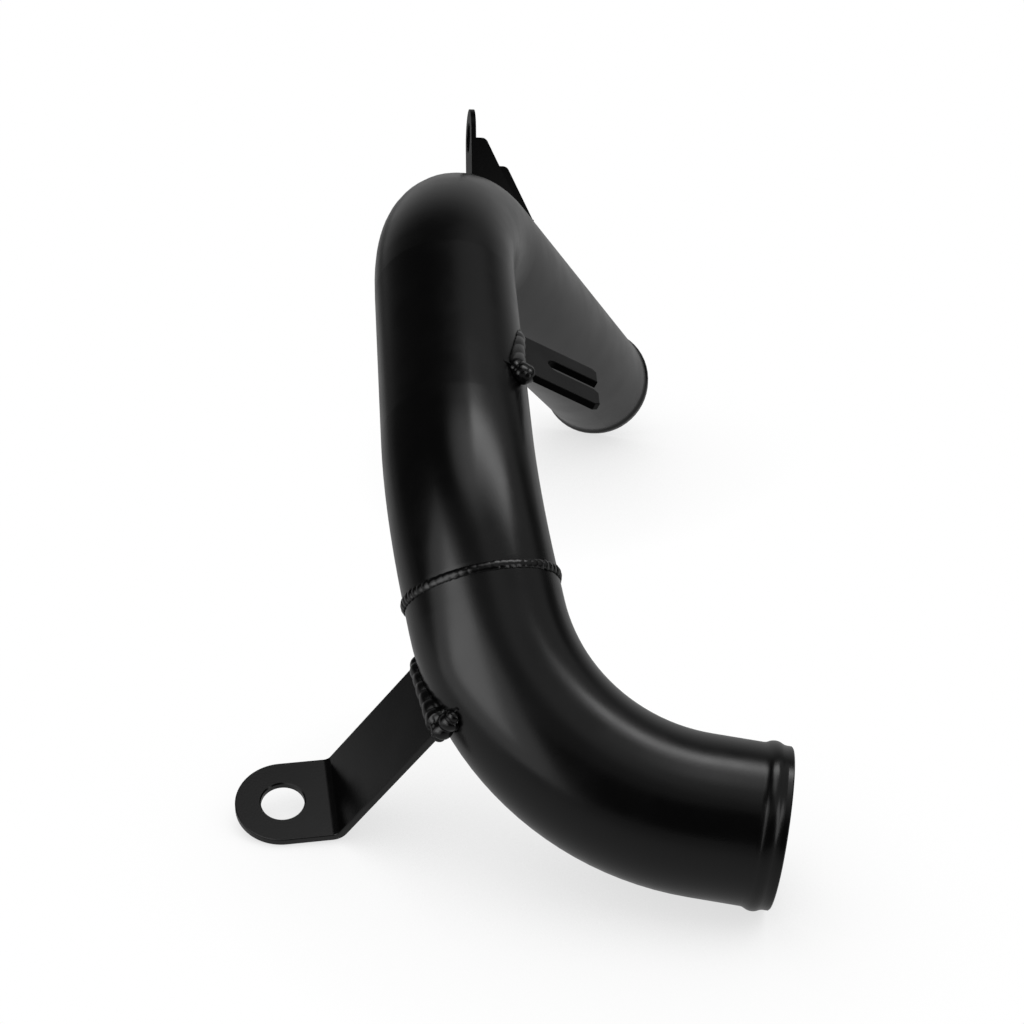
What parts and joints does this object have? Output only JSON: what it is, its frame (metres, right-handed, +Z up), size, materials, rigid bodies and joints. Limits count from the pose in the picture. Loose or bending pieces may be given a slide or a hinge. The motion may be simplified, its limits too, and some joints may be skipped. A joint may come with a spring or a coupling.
{
  "type": "turbo outlet pipe",
  "caption": "Bent round tube with a rolled bead at each end, a welded elbow and welded mounting brackets, carrying charge air out of a turbocharger.",
  "frame": {"origin": "middle of the footprint on the surface the pipe lies on", "axes": "+Z up as it comes to rest on the far rim, the outlet and the lower bracket, +X the way the outlet points in plan, +Y towards the long leg's open end"},
  "size_m": [0.1986, 0.5206, 0.2073],
  "materials": {
    "tube_coat": "satin black powder coat",
    "bracket_coat": "satin black powder coat",
    "weld_coat": "satin black powder coat over weld ripples"
  },
  "bodies": {
    "root": {"upper_pipe": "tube_coat", "lower_elbow": "tube_coat", "girth_weld": "weld_coat", "lower_bracket": "bracket_coat", "lower_bracket_weld": "weld_coat", "fork_bracket": "bracket_coat", "fork_bracket_weld": "weld_coat", "upper_bracket": "bracket_coat", "upper_bracket_weld": "weld_coat"}
  },
  "joints": []
}
